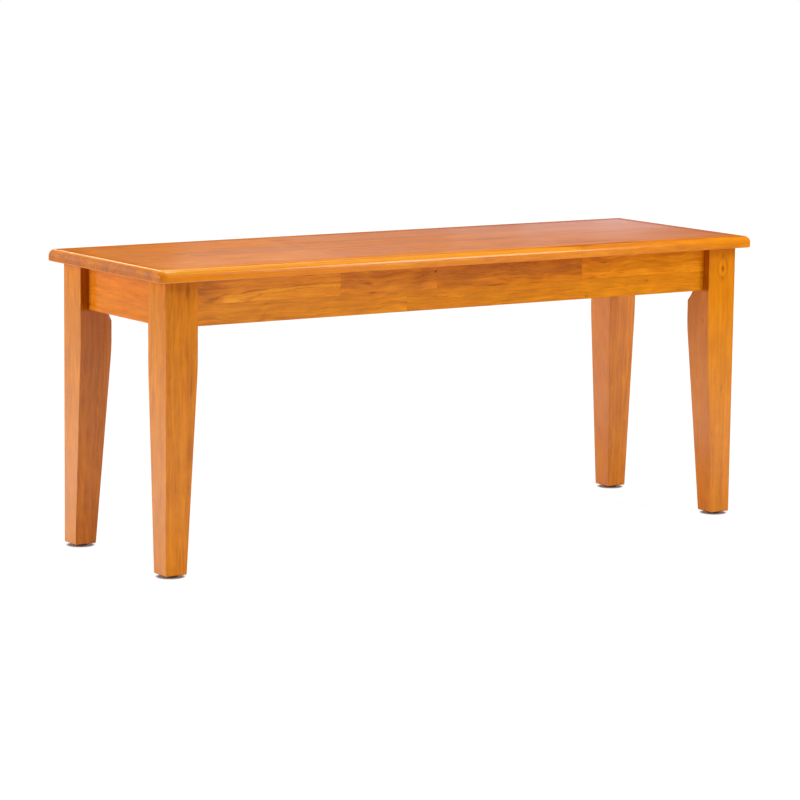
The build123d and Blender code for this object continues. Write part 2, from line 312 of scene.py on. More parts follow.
def stave_lookup(graph, along, across, rows):
    """What the rows of staves say at a point: their look, their figure and the glued joints."""
    looks = figures = joints = None
    lines = []
    for edge, staves in rows:
        row_look, row_figure, row_joint = row_lookup(graph, along, staves)
        if looks is None:
            looks, figures, joints = row_look, row_figure, row_joint
            continue
        inside = graph.math("GREATER_THAN", across, edge)
        looks = graph.pick(inside, looks, row_look)
        figures = graph.pick(inside, figures, row_figure)
        joints = graph.blend(inside, joints, row_joint)
        lines.append(graph.math("COMPARE", across, edge, joint_width / 2))
    look = graph.node("SeparateXYZ", {0: looks}).outputs[:3]
    figure = graph.node("SeparateXYZ", {0: figures}).outputs[:3]
    return look, figure, graph.most(joints, *lines)


def spot(graph, wood_place, mark):
    """The mark's strength at its middle and 0 outside it, with a soft rim."""
    offset = graph.vector("SUBTRACT", graph.point(*wood_place), (mark.along, mark.across, mark.depth))
    away = graph.vector("DIVIDE", offset, (mark.length, mark.width, mark.width))
    inside = graph.soft_step(graph.vector("LENGTH", away), *mark_rim)
    return graph.times(inside, -mark.strength)


def growth_rings(graph, place, wood_place, figure, seed):
    """Uneven rings round the stave's pith, from -1 to 1."""
    along, across, depth = wood_place
    pith, start, slope = figure
    below = graph.less(graph.times_plus(along, slope, start), depth)
    offset = graph.point(0.0, graph.less(across, pith), below)
    bends = [graph.sway(graph.noise(place, scale), amount) for scale, amount in ring_bends]
    distance = graph.total(graph.vector("LENGTH", offset), graph.total(*bends))
    turn = graph.times_plus(distance, ring_rate, graph.times(seed, ring_seed))
    inputs = {"W": turn, "Scale": 1.0, "Detail": ring_detail, "Roughness": ring_roughness}
    rings = graph.node("TexNoise", inputs, noise_dimensions="1D").outputs[0]
    return graph.sway(rings, 1.0)


def grain_layer(graph, place, layer, grain):
    """How far one layer of the grain changes the lightness."""
    along = layer.along * grain.shortness if layer.shortens else layer.along
    noise = graph.noise(place, (along, layer.across, layer.across), layer.detail, layer.roughness)
    amount = layer.steady + layer.strength * grain.strength + layer.thread * grain.thread
    return graph.sway(noise, amount)


def wood_field(graph, face, rows, marks, grain):
    """The wood at a point: its lightness, redness, end grain, pores, fibres and glued joints."""
    position, facing = object_place(graph)
    along, across, level = (position[axis] for axis in face.axes)
    depth = graph.times(graph.less(level, face.level), face.inward)
    wood_place = (along, across, depth)
    (tone, red, contrast), figure, joint = stave_lookup(graph, along, across, rows)
    seed = graph.times_plus(tone, tone_seed, graph.times(red, red_seed))

    straight = graph.point(graph.times_plus(seed, along_seed, along), across, depth)
    rings = growth_rings(graph, straight, wood_place, figure, seed)
    wander = graph.sway(graph.noise(straight, *wander_noise), wander_sway)
    bend = graph.point(0.0, wander, graph.times(wander, wander_depth_share))
    place = graph.vector("ADD", straight, bend)
    fibre = graph.noise(place, *fibre_noise)
    pore = graph.soft_step(graph.noise(place, *pore_noise), *pore_step)
    fleck = graph.soft_step(graph.noise(place, *fleck_noise), *fleck_step)
    blotch = graph.soft_step(graph.noise(place, *blotch_noise), *blotch_step)
    end = graph.soft_step(graph.size(facing[face.axes[0]]), *squarely)
    lightness = graph.total(
        tone,
        graph.times(rings, contrast),
        graph.sway(fibre, fibre_sway * grain.strength),
        *[grain_layer(graph, place, layer, grain) for layer in layers],
        graph.times(pore, pore_shade * grain.strength),
        graph.times(fleck, fleck_shade * grain.strength),
        graph.times(joint, joint_shade),
        graph.times(end, graph.spread(blotch, *end_shades)),
        *[spot(graph, wood_place, mark) for mark in marks],
    )
    return {
        "position": position, "facing": facing, "along": along, "across": across,
        "lightness": lightness, "end": end, "pore": pore, "fibre": fibre, "joint": joint,
        "red": graph.total(red, graph.sway(graph.noise(place, *tint_noise), tint_sway)),
    }


def finish_wood(graph, shader, wood, relief):
    """The wood's roughness, and the relief of its pores, fibres and joints."""
    graph.feed(shader.inputs["Roughness"], graph.over_noise(wood["fibre"], *wood_roughness))
    shader.inputs["Specular IOR Level"].default_value = 0.0
    shader.inputs["Coat Roughness"].default_value = coat_roughness
    shader.inputs["Coat IOR"].default_value = coat_gloss
    grooves = graph.times(graph.total(wood["pore"], wood["joint"]), -1.0)
    bump = graph.bump(graph.times_plus(wood["fibre"], fibre_relief, grooves), relief)
    graph.feed(shader.inputs["Normal"], bump)
    graph.feed(shader.inputs["Coat Normal"], bump)


def stained_wood(name, face, rows, marks=(), coat=usual_coat, grain=usual_grain, finish=None):
    """Stained and lacquered wood, glued up from the staves that the rows give."""
    material, graph, shader = new_material(name)
    wood = wood_field(graph, face, rows, marks, grain)
    wood["red"] = graph.times_plus(wood["end"], end_redness, wood["red"])
    wood["coat"] = coat
    wood["tints"] = []
    if finish:
        finish(graph, wood)
    colour = graph.mix(wood["red"], graph.ramp(wood["lightness"], stain_stops), mauve)
    colour = graph.mix(graph.times(wood["red"], -1.0), colour, honey)
    for share, tint in wood["tints"]:
        colour = graph.mix(share, colour, tint)
    graph.feed(shader.inputs["Base Color"], colour)
    graph.feed(shader.inputs["Coat Weight"], wood["coat"])
    finish_wood(graph, shader, wood, stained_relief)
    return material


# Bare wood: its one stave
bare_red = 0.1
bare_figure = 0.06
bare_pith = 0.3
bare_piths = (0, 0.1)                   # how much further the pith may lie
bare_depth = 0.04
bare_slope = 0.05


def bare_wood(name, axes, tone, seed):
    """Hardwood inside the frame, with only a thin sealer."""
    random = Random(seed)
    material, graph, shader = new_material(name)
    pith = bare_pith + random.uniform(*bare_piths)
    stave = Stave(0.0, tone, bare_red, bare_figure, pith, bare_depth, bare_slope)
    wood = wood_field(graph, Face(axes, 0.0, 1.0), [(lowest_edge, [stave])], (), usual_grain)
    graph.feed(shader.inputs["Base Color"], graph.ramp(wood["lightness"], bare_stops))
    shader.inputs["Coat Weight"].default_value = bare_coat
    finish_wood(graph, shader, wood, bare_relief)
    return material


# Plated steel
steel_blotch_noise = ((260.0, 260.0, 260.0), 3.0)
steel_scratch_noise = ((900.0, 900.0, 3500.0), 2.0)
steel_blotch_step = (0.35, 0.65)
steel_roughness = (0.24, 0.42)
scratch_relief = 0.1                    # of a thread's
steel_relief = 0.0002
steel_relief_strength = 0.6
bolt_pitch = 0.00125


def plated_steel(name, colour, dull, pitch=0.0):
    """Plated steel with faint blotches and scratches, and with rolled rings where it has a thread."""
    material, graph, shader = new_material(name)
    position = object_place(graph)[0]
    place = graph.point(*position)
    blotch = graph.noise(place, *steel_blotch_noise)
    scratch = graph.noise(place, *steel_scratch_noise)
    shade = graph.mix(graph.soft_step(blotch, *steel_blotch_step), colour, dull)
    graph.feed(shader.inputs["Base Color"], shade)
    graph.feed(shader.inputs["Roughness"], graph.over_noise(scratch, *steel_roughness))
    shader.inputs["Metallic"].default_value = 1.0
    height = graph.times(scratch, scratch_relief)
    if pitch:
        slant = graph.total(graph.size(position[0]), graph.size(position[1]))
        turn = graph.times(slant, math.tau / pitch / math.sqrt(2))
        height = graph.total(height, graph.math("SINE", turn))
    bump = graph.bump(height, steel_relief, steel_relief_strength)
    graph.feed(shader.inputs["Normal"], bump)
    return material


# Moulded plastic
plastic_grain_noise = ((2600.0, 2600.0, 2600.0), 2.0)
plastic_cloud_noise = ((120.0, 120.0, 120.0), 3.0)
plastic_sole_step = (-0.6, -0.95)       # by how far the surface faces up
plastic_scuff_step = (0.45, 0.65)
plastic_cloud_step = (0.35, 0.65)
plastic_dark = (0.045, 0.025, 0.017, 1)
plastic_pale = (0.065, 0.038, 0.026, 1)
plastic_scuffed = (0.11, 0.085, 0.07, 1)
plastic_roughness = (0.42, 0.6)
plastic_relief = 0.00006
plastic_relief_strength = 0.4


def moulded_plastic(name):
    """Dark brown plastic with a fine moulded grain, scuffed where it slides on the floor."""
    material, graph, shader = new_material(name)
    position, facing = object_place(graph)
    place = graph.point(*position)
    grain = graph.noise(place, *plastic_grain_noise)
    cloud = graph.noise(place, *plastic_cloud_noise)
    sole = graph.soft_step(facing[2], *plastic_sole_step)
    scuff = graph.times(sole, graph.soft_step(cloud, *plastic_scuff_step))
    shade = graph.mix(graph.soft_step(cloud, *plastic_cloud_step), plastic_dark, plastic_pale)
    graph.feed(shader.inputs["Base Color"], graph.mix(scuff, shade, plastic_scuffed))
    graph.feed(shader.inputs["Roughness"], graph.over_noise(grain, *plastic_roughness))
    graph.feed(shader.inputs["Normal"], graph.bump(grain, plastic_relief, plastic_relief_strength))
    return material


def make_camera():
    data = bpy.data.cameras.new("camera")
    data.lens = camera_lens
    data.clip_end = camera_reach
    camera = bpy.data.objects.new("camera", data)
    fall = Matrix.Rotation(math.pi / 2 - camera_fall, 4, "X")
    turn = Matrix.Rotation(-camera_turn, 4, "Z") @ fall
    camera.matrix_world = Matrix.Translation(camera_place) @ turn @ Matrix.Rotation(camera_roll, 4, "Z")
    bpy.context.scene.collection.objects.link(camera)
    bpy.context.scene.camera = camera


def make_lamp(name, place, target, width, height, brightness):
    data = bpy.data.lights.new(name, "AREA")
    data.shape = "RECTANGLE"
    data.size, data.size_y = width, height
    data.energy = brightness * math.pi * width * height
    lamp = bpy.data.objects.new(name, data)
    lamp.location = place
    lamp.rotation_euler = (Vector(target) - Vector(place)).to_track_quat("-Z", "Y").to_euler()
    lamp.visible_camera = False
    bpy.context.scene.collection.objects.link(lamp)


def seen_directly(graph):
    """1 for what the camera, a reflection or clear glass sees, 0 for light on a dull surface."""
    path = graph.node("LightPath", {}).outputs
    return graph.most(path["Is Camera Ray"], path["Is Glossy Ray"], path["Is Transmission Ray"])


def make_world():
    world = bpy.data.worlds.new("studio")
    bpy.context.scene.world = world
    world.use_nodes = True
    world.node_tree.nodes.clear()
    graph = Graph(world.node_tree)
    strength = graph.spread(seen_directly(graph), 0.0, 1.0, ambient, 1.0)
    background = graph.node("Background", {0: white, 1: strength})
    graph.node("OutputWorld", {0: background.outputs[0]})


# Floor
floor_size = 40
floor_pale = (0.85, 0.85, 0.85, 1)
floor_strength = 1.06                   # of the white that the camera sees
shadow_stretch = (1.0, 1.6, 0.0)        # of distances from the middle
shadow_step = (1.3, 0.6)
shadow_share = 0.1
foot_shadow_step = (0.025, 0.018)       # by the distance from a foot's middle
foot_shadow_share = 0.9
# painted shadow: the floor's own colour round each foot
painted_foot_shadow = (0.4, 0.2, 0.16, 1)


def floor_white():
    """White that keeps a faint shadow of the bench, deepest round its feet, where a painted shadow
    colour darkens it further.
    """
    material = bpy.data.materials.new("floor_white")
    material.use_nodes = True
    material.node_tree.nodes.clear()
    graph = Graph(material.node_tree)
    place = graph.node("NewGeometry", {}).outputs["Position"]
    distance = graph.vector("LENGTH", graph.vector("MULTIPLY", place, shadow_stretch))
    near = graph.soft_step(distance, *shadow_step)
    corner = graph.vector("ABSOLUTE", place)
    gap = graph.vector("LENGTH", graph.vector("SUBTRACT", corner, (foot_x, foot_y, 0.0)))
    foot = graph.soft_step(gap, *foot_shadow_step)
    dull = graph.most(graph.times(near, shadow_share), graph.times(foot, foot_shadow_share))
    # painted shadow: the floor's colour darkens round each foot
    shade = graph.mix(foot, floor_pale, painted_foot_shadow)
    lit = graph.node("BsdfDiffuse", {"Color": shade}).outputs[0]
    bright = graph.node("Emission", {"Color": white, "Strength": floor_strength}).outputs[0]
    share = graph.times(seen_directly(graph), graph.other(dull))
    surface = graph.node("MixShader", {0: share, 1: lit, 2: bright}).outputs[0]
    graph.node("OutputMaterial", {"Surface": surface})
    return material


def make_floor():
    bpy.ops.mesh.primitive_plane_add(size=floor_size)
    floor = bpy.context.object
    floor.name = "floor"
    floor.data.materials.append(floor_white())


def dress(nodes, names, material):
    for name in names:
        nodes[name].data.materials.clear()
        nodes[name].data.materials.append(material)


# Seat: parts of its surface, as steps by how far it faces up, or sideways
seat_flat = (0.975, 1.0)
seat_under = (-0.4, -0.8)
seat_end_side = (0.1, 0.25)
seat_front_round = (0.25, 0.6)
seat_end_round = (0.8, 0.95)
seat_steep = (0.6, 0.8)
seat_upright = (0.35, 0.1)
seat_low_round = (-0.1, -0.5)
seat_bottom = (-0.99, -0.9)

# Seat: ranges and steps along and across it. Where the rounded edge faces up it is painted lighter
# and golden, a painted highlight of the light from above, but for a darker, redder stretch on the
# right.
# painted highlight on the rounded edge: where it runs along the seat, how light and how red
highlight_before = (0.18, 0.21, 1.0, -0.3)
highlight_after = (0.32, 0.42, 0.0, 0.5)
painted_highlight = (-0.52, -0.43, 0.17, 0.13)
painted_highlight_red = (-0.52, -0.43, -0.7, -0.35)
# a paler, more golden strip just inside the front edge at the left end
pale_strip_across = (-0.145, -0.16)
pale_strip_along = (-0.42, -0.49)
pale_strip_shade = 0.03
pale_strip_red = -0.5
right_shade = (0.2, 0.5, -0.025, -0.045)
rear_across = (-0.02, 0.1)
rear_shade = (0.38, 0.53, 0.0, -0.04)
under_shade = -0.04
upright_along = (-0.12, -0.22)
upright_shade = -0.02
upright_tint = 0.17
stripe_noise = ((2.5, 170.0, 1.0), 2.0)
stripe_step = (0.55, 0.64)
stripe_shade = (-0.3, 0.3, -0.04, -0.15)
deep_along = (-0.1, 0.52, 0.02, 0.6)
deep_across = (-0.17, 0.15, 0.65, 1.35)
corner_along = (0.42, 0.53)
corner_across = (-0.02, 0.06, 0.0, 0.15)
# painted rim light along the lower edge, stronger at the left end
rim_sheen_along = (-0.5, -0.2, 0.5, 0.15)

# Seat: dark patches of the end grain, each with its middle and half width across the board
seat_end_patches = ((0.084, 0.016), (-0.012, 0.012), (-0.075, 0.017), (-0.141, 0.015))
patch_rim = (1.2, 0.6)                  # a step, in half widths
patch_shade = -0.03
patch_red = 0.2

# Seat: lacquer
worn_outside = (0.034, 0.02)            # steps, by the distance from the seat's edge
worn_inside = (0.009, 0.014)
worn_coat = (0.0, 1.0, 0.1, 0.04)
uneven_noise = ((6.0, 9.0, 9.0), 2.0)
uneven_coat = (0.88, 1.12)
rear_coat_along = (-0.4, 0.4, -0.2, 0.35)
rear_coat_across = (-0.1, 0.1, -1.0, 1.0)
front_step = (0.02, -0.03)
front_coat_along = (0.4, 0.53, 1.0, 0.65)
inset_coat = (-0.165, -0.125, 0.5, 1.0)
steep_coat_along = (-0.3, 0.15, 0.34, 0.06)
steep_coat_across = (-0.17, 0.06, 0.2, 0.36)
corner_coat = (-0.512, -0.538, 0.0, 0.55)
left_face_coat = (-0.5, -0.1, 0.1, 0.37)
right_face_coat = (0.22, 0.5, 0.35, 0.08)
end_face_coat = (0.03, 0.3, 0.32, 0.19)
under_coat = 0.12

# Seat: its rows of staves from the front, each with its front edge, and where each stave starts,
# how light and how red it is
seat_looks = [
    (-0.1775, [(-0.55, 0.66, 0.0), (-0.304, 0.67, 0.0), (0.074, 0.67, 0.0), (0.205, 0.665, 0.0)]),
    (-0.145, [(-0.55, 0.56, 0.0), (-0.208, 0.51, 0.1), (0.206, 0.49, 0.1)]),
    (-0.103, [
        (-0.55, 0.55, 0.05), (-0.208, 0.49, 0.2), (-0.041, 0.52, 0.0), (0.105, 0.49, 0.05),
        (0.28, 0.51, 0.0),
    ]),
    (-0.061, [(-0.55, 0.555, 0.06), (-0.18, 0.50, 0.08), (0.02, 0.51, -0.03), (0.25, 0.53, -0.08)]),
    (-0.019, [
        (-0.55, 0.54, 0.0), (-0.405, 0.49, 0.25), (-0.23, 0.50, 0.08), (0.068, 0.51, 0.0),
        (0.235, 0.49, 0.03),
    ]),
    (0.023, [
        (-0.55, 0.54, 0.0), (-0.37, 0.54, 0.08), (-0.19, 0.50, 0.02), (0.046, 0.52, -0.05),
        (0.27, 0.49, -0.1),
    ]),
    (0.065, [
        (-0.55, 0.53, 0.0), (-0.44, 0.55, 0.0), (-0.186, 0.49, 0.03), (0.14, 0.46, 0.0),
        (0.28, 0.44, -0.08),
    ]),
    (0.107, [
        (-0.55, 0.52, 0.0), (-0.44, 0.54, 0.0), (-0.186, 0.49, 0.1), (0.14, 0.47, 0.08),
        (0.36, 0.41, 0.15),
    ]),
    (0.149, [(-0.55, 0.52, 0.0), (-0.12, 0.44, 0.15), (0.2, 0.38, 0.2)]),
]
seat_slopes = (-0.05, 0.05)
seat_depths = (0.02, 0.06)
seat_pith = 0.02                        # from the row's front edge
seat_piths = (-0.05, 0.05)
seat_figures = (0.03, 0.06)
seat_seed = 11
seat_marks = [
    Mark(0.2, -0.163, 0.0, 0.06, 0.012, 0.34),
    Mark(0.285, -0.157, 0.0, 0.08, 0.011, 0.34),
    Mark(0.15, 0.01, 0.0, 0.025, 0.008, 0.12),
    Mark(0.33, 0.02, 0.0, 0.12, 0.006, 0.12),
    Mark(0.38, 0.085, 0.0, 0.1, 0.006, 0.12),
    Mark(0.4, -0.06, 0.0, 0.1, 0.005, 0.12),
    Mark(0.3, 0.13, 0.0, 0.12, 0.005, 0.12),
    Mark(-0.541, -0.171, 0.011, 0.012, 0.006, 0.22),
    Mark(-0.05, 0.06, 0.0, 0.15, 0.005, 0.08),
    Mark(-0.3, 0.045, 0.0, 0.1, 0.005, 0.08),
]


def shade_seat(graph, wood, flat, rounded, under):
    """A painted golden highlight on the rounded edge, a paler, more golden strip inside it, redder
    patches of end grain and dark stripes.
    """
    along, across = wood["along"], wood["across"]
    edge_share = graph.total(graph.spread(along, *highlight_before), graph.spread(along, *highlight_after))
    # painted highlight: the upward-facing rounded edge is painted lighter and golden, and darker and
    # redder for a stretch on the right
    edge_highlight = graph.times(rounded, edge_share)
    patches = [
        graph.soft_step(graph.size(graph.less(across, centre)), *(half * rim for rim in patch_rim))
        for centre, half in seat_end_patches
    ]
    patches = graph.times(wood["end"], graph.most(*patches))
    strip = graph.times(graph.spread(across, *pale_strip_across), graph.spread(along, *pale_strip_along))
    pale_strip = graph.times(flat, strip)
    stripes = graph.soft_step(graph.noise(graph.point(*wood["position"]), *stripe_noise), *stripe_step)
    wood["lightness"] = graph.total(
        wood["lightness"],
        graph.times(edge_highlight, graph.spread(along, *painted_highlight)),
        graph.times(under, under_shade),
        graph.times(flat, graph.spread(along, *right_shade)),
        graph.times(stripes, graph.times(flat, graph.spread(along, *stripe_shade))),
        graph.times(graph.spread(across, *rear_across), graph.spread(along, *rear_shade)),
        graph.times(patches, patch_shade),
        graph.times(pale_strip, pale_strip_shade),
    )
    wood["red"] = graph.total(
        wood["red"],
        graph.times(patches, patch_red),
        graph.times(pale_strip, pale_strip_red),
        graph.times(edge_highlight, graph.spread(along, *painted_highlight_red)),
    )


def tint_seat(graph, wood, flat, sideways):
    """A deeper red towards the right of the flat top, and a painted pale sheen round the lower edge."""
    along, across, up = wood["along"], wood["across"], wood["facing"][2]
    deep = graph.times(graph.spread(along, *deep_along), graph.spread(across, *deep_across))
    corner = graph.times(graph.spread(along, *corner_along), graph.spread(across, *corner_across))
    wood["tints"].append((graph.times(flat, graph.total(deep, corner)), russet))
    # painted light: a pale pink rim round the seat's lower edge
    rim = graph.times(graph.soft_step(up, *seat_low_round), graph.soft_step(up, *seat_bottom))
    wood["tints"].append((graph.times(rim, graph.spread(along, *rim_sheen_along)), painted_sheen))
    upright = graph.times(graph.other(sideways), graph.soft_step(graph.size(up), *seat_upright))
    upright = graph.times(upright, graph.spread(along, *upright_along))
    wood["tints"].append((graph.times(upright, upright_tint), bright_russet))
    wood["lightness"] = graph.times_plus(upright, upright_shade, wood["lightness"])


def top_coat(graph, wood):
    """The lacquer on the flat top, thinner just inside its edges and thicker at the rear right."""
    position, along, across = wood["position"], wood["along"], wood["across"]
    gap = graph.least(*[
        graph.less(half, graph.size(position[axis]))
        for axis, half in enumerate((seat_half_length, seat_half_width))
    ])
    edge_share = graph.times(graph.soft_step(gap, *worn_outside), graph.soft_step(gap, *worn_inside))
    uneven = graph.over_noise(graph.noise(graph.point(*position), *uneven_noise), *uneven_coat)
    across_share = graph.spread(across, *rear_coat_across)
    rear = graph.times_plus(graph.spread(along, *rear_coat_along), across_share, 1.0)
    coat = graph.times(graph.spread(edge_share, *worn_coat), graph.times(uneven, rear))
    front = graph.soft_step(across, *front_step)
    front_end = graph.blend(front, 1.0, graph.spread(along, *front_coat_along))
    return graph.times(coat, graph.times(front_end, graph.spread(across, *inset_coat)))


def edge_coat(graph, wood, sideways):
    """The lacquer on the seat's rounded edge and on its faces."""
    along, across, up = wood["along"], wood["across"], wood["facing"][2]
    steep = graph.blend(
        sideways, graph.spread(along, *steep_coat_along), graph.spread(across, *steep_coat_across),
    )
    corner = graph.times(graph.other(sideways), graph.spread(along, *corner_coat))
    long_face = graph.least(
        graph.spread(along, *left_face_coat), graph.spread(along, *right_face_coat),
    )
    face = graph.blend(wood["end"], long_face, graph.spread(up, *end_face_coat))
    return graph.blend(graph.soft_step(up, *seat_steep), face, graph.total(steep, corner))


def finish_seat(graph, wood):
    facing = wood["facing"]
    up = facing[2]
    flat = graph.soft_step(up, *seat_flat)
    under = graph.soft_step(up, *seat_under)
    sideways = graph.soft_step(graph.size(facing[0]), *seat_end_side)
    high = graph.blend(
        sideways, graph.soft_step(up, *seat_front_round), graph.soft_step(up, *seat_end_round),
    )
    shade_seat(graph, wood, flat, graph.times(high, graph.other(flat)), under)
    tint_seat(graph, wood, flat, sideways)
    coat = graph.blend(flat, edge_coat(graph, wood, sideways), top_coat(graph, wood))
    wood["coat"] = graph.blend(under, coat, under_coat)


def seat_wood():
    random = Random(seat_seed)
    rows = []
    for edge, row in seat_looks:
        staves = []
        for start, tone, red in row:
            slope = random.uniform(*seat_slopes)
            depth = random.uniform(*seat_depths) - slope * start
            pith = edge + seat_pith + random.uniform(*seat_piths)
            figure = random.uniform(*seat_figures)
            staves.append(Stave(start, tone, red, figure, pith, depth, slope))
        rows.append((edge, staves))
    face = Face((0, 1, 2), seat_top_height, -1.0)
    return stained_wood("seat_wood", face, rows, seat_marks, finish=finish_seat)


# Front apron: its staves
tongue = Stave(-0.476, 0.76, -0.05, 0.05, 0.404, -0.01524, -0.07)   # cut across the tree's pith
tongue_end = -0.221
front_apron_rows = [
    (apron_bottom, [
        Stave(-0.476, 0.60, -0.22, 0.05, 0.32, 0.02, 0.02),
        Stave(-0.101, 0.575, -0.22, 0.05, 0.33, 0.03, 0.0),
    ]),
    (stave_row, [
        tongue,
        Stave(tongue_end, 0.63, 0.08, 0.04, 0.33, 0.05, 0.0),
        Stave(-0.046, 0.56, 0.08, 0.05, 0.36, 0.06, 0.0),
        Stave(0.23, 0.68, -0.05, 0.08, 0.47, 0.02, -0.1),
    ]),
]
front_apron_marks = [
    Mark(-0.049, 0.428, 0.0, 0.0035, 0.0035, 0.4),
    Mark(-0.173, 0.416, 0.0, 0.014, 0.0018, 0.25),
    Mark(-0.163, 0.4015, 0.0, 0.012, 0.0014, 0.3),
    Mark(0.062, 0.4008, 0.0, 0.028, 0.0013, 0.3),
    Mark(-0.049, 0.390, 0.0, 0.008, 0.0016, 0.25),
    Mark(0.36, 0.392, 0.0, 0.007, 0.0016, 0.3),
    Mark(0.31, 0.407, 0.0, 0.012, 0.0014, 0.2),
    Mark(0.24, 0.435, 0.0, 0.06, 0.035, 0.08),
    Mark(0.17, 0.43, 0.0, 0.06, 0.02, 0.04),
    Mark(0.43, 0.385, 0.0, 0.02, 0.002, 0.15),
    Mark(0.24, 0.3735, 0.0, 0.004, 0.004, 0.2),
    Mark(-0.075, 0.42, 0.0, 0.03, 0.02, 0.12),
    Mark(-0.46, 0.425, 0.0, 0.07, 0.03, 0.2),
]

# Front apron: the tongue's bands, each with its radius, half width and strength
tongue_bands = (
    (0.0137, 0.0018, 0.17), (0.0108, 0.0009, 0.08), (0.0165, 0.0009, -0.16), (0.0119, 0.0007, -0.1),
)
band_core = 0.3                         # of a band's half width
tongue_noise = ((30.0, 90.0, 1.0),)
tongue_sway = 0.0012
front_apron_shade = (0.0, 0.45, -0.02, 0.03)
front_apron_coat = (-0.4, 0.4, 0.3, 0.06)


def finish_front_apron(graph, wood):
    """A pale tongue of figure in the upper left stave, and lacquer thinner towards the right."""
    along, across = wood["along"], wood["across"]
    pith = graph.times_plus(along, tongue.slope, tongue.depth)
    bend = graph.sway(graph.noise(graph.point(along, across, 0.0), *tongue_noise), tongue_sway)
    away = graph.vector("LENGTH", graph.point(pith, graph.less(across, tongue.pith), 0.0))
    away = graph.total(away, bend)
    left = graph.math("LESS_THAN", along, tongue_end)
    inside = graph.times(left, graph.math("GREATER_THAN", across, stave_row))
    for radius, half, strength in tongue_bands:
        band = graph.soft_step(graph.size(graph.less(away, radius)), half, half * band_core)
        band = graph.times(band, inside)
        wood["lightness"] = graph.times_plus(band, strength, wood["lightness"])
    wood["lightness"] = graph.total(wood["lightness"], graph.spread(along, *front_apron_shade))
    wood["coat"] = graph.spread(along, *front_apron_coat)


def front_apron_wood():
    return stained_wood(
        "front_apron_wood", Face((0, 2, 1), -apron_face, 1.0), front_apron_rows, front_apron_marks,
        grain=front_apron_grain, finish=finish_front_apron,
    )


# Plain aprons. Their staves are of uneven length, tone and figure, within the ranges below.
PlainApron = namedtuple("PlainApron", "face half_length tone stave_length coat seed finish")
row_middle = 0.018                      # above the row's lower edge
plain_slopes = (-0.06, 0.06)
plain_depths = (0.02, 0.07)
plain_tones = (-0.03, 0.03)
plain_reds = (0.0, 0.15)
plain_figures = (0.03, 0.06)
plain_piths = (-0.04, 0.04)
plain_lengths = (0.7, 1.3)
end_apron_tint = 0.24


def finish_end_apron(graph, wood):
    """A redder board than the others."""
    wood["tints"].append((end_apron_tint, bright_russet))


plain_aprons = {
    "rear_apron": PlainApron(
        face=Face((0, 2, 1), apron_face, -1.0), half_length=apron_half_length, tone=0.6,
        stave_length=0.33, coat=0.2, seed=3, finish=None,
    ),
    "left_apron": PlainApron(
        face=Face((1, 2, 0), -end_apron_face, 1), half_length=end_apron_half_length, tone=0.65,
        stave_length=0.4, coat=0.29, seed=3, finish=finish_end_apron,
    ),
    "right_apron": PlainApron(
        face=Face((1, 2, 0), end_apron_face, -1), half_length=end_apron_half_length, tone=0.65,
        stave_length=0.4, coat=0.29, seed=5, finish=finish_end_apron,
    ),
}


def random_row(random, edge, apron):
    """One row of staves of uneven length."""
    staves = []
    start = -apron.half_length
    while start < apron.half_length:
        slope = random.uniform(*plain_slopes)
        depth = random.uniform(*plain_depths) - slope * start
        tone = apron.tone + random.uniform(*plain_tones)
        red = random.uniform(*plain_reds)
        figure = random.uniform(*plain_figures)
        pith = edge + row_middle + random.uniform(*plain_piths)
        staves.append(Stave(start, tone, red, figure, pith, depth, slope))
        start += apron.stave_length * random.uniform(*plain_lengths)
    return edge, staves


def plain_apron_wood(name, apron):
    random = Random(apron.seed)
    rows = [random_row(random, edge, apron) for edge in (apron_bottom, stave_row)]
    return stained_wood(
        name, apron.face, rows, coat=apron.coat, grain=plain_apron_grain, finish=apron.finish,
    )
